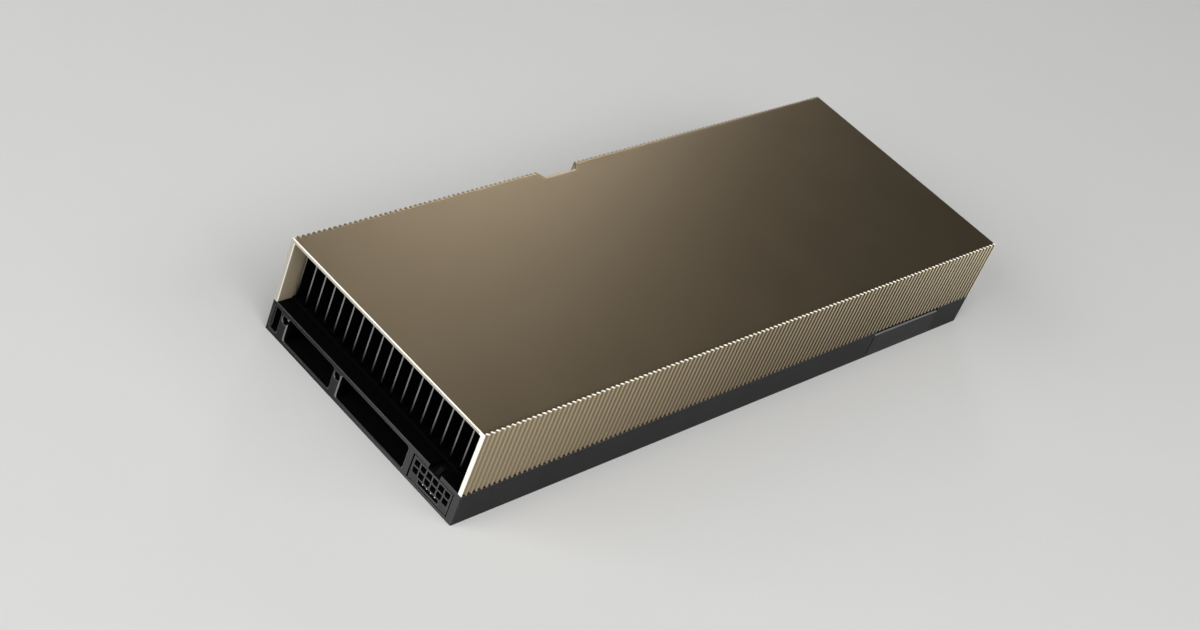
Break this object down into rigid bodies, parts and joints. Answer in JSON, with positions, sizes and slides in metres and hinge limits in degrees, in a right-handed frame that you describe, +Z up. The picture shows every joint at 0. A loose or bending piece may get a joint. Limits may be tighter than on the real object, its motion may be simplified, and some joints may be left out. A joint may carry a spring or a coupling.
{
  "type": "passive accelerator card",
  "caption": "Full-height accelerator card for servers: fluted gold shroud open at both ends, dark pierced frame with a power socket, upright fins inside and an edge tab.",
  "frame": {"origin": "centre of the flat underside, without the edge tab", "axes": "+X from the open end with the power socket to the bracket end, +Y from the plain long side to the side with the edge tab, +Z up, away from the underside"},
  "size_m": [0.2666, 0.1112, 0.0386],
  "materials": {
    "gold_shroud": "fine satin champagne-gold anodising",
    "dark_frame": "fine matt black powder coat",
    "dark_cover": "fine matt moulded black",
    "dark_plate": "matt black sheet",
    "amber_film": "smooth dark film",
    "board": "dark solder mask over fibreglass",
    "gold_contacts": "hard gold plating",
    "dark_fins": "black anodising with bright cut edges",
    "copper": "bright nickel-free copper",
    "soft_pad": "soft grey filler",
    "carrier": "green laminate",
    "silicon": "polished silicon",
    "plated_steel": "nickel plated",
    "dark_cube": "pressed ferrite",
    "black_chip": "moulded resin",
    "pale_ceramic": "sintered ceramic",
    "can_aluminium": "drawn can",
    "spacer_brass": "turned",
    "socket_housing": "moulded glass-filled plastic",
    "tinned_pin": "bright tin plate",
    "dark_screw": "black oxide",
    "plated_screw": "zinc plate"
  },
  "bodies": {
    "root": {"shroud": "gold_shroud", "base_frame": "dark_frame", "link_cover": "dark_cover", "backplate": "dark_plate", "insulating_film": "amber_film", "circuit_board": "board", "edge_contacts": "gold_contacts", "link_contacts": "gold_contacts", "heat_sink_base": "dark_fins", "heat_sink_fins": "dark_fins", "side_fins": "dark_fins", "heat_spreader": "copper", "thermal_pads": "soft_pad", "thermal_interface": "soft_pad", "processor_substrate": "carrier", "processor_die": "silicon", "memory_stacks": "silicon", "package_frame": "plated_steel", "inductors": "dark_cube", "power_stages": "black_chip", "capacitors": "pale_ceramic", "input_capacitors": "can_aluminium", "control_chips": "black_chip", "support_plate": "plated_steel", "board_spacers": "spacer_brass", "power_socket": "socket_housing", "power_pins": "tinned_pin", "sense_pins": "tinned_pin", "shroud_screws": "dark_screw", "retention_screws": "plated_screw"}
  },
  "joints": []
}
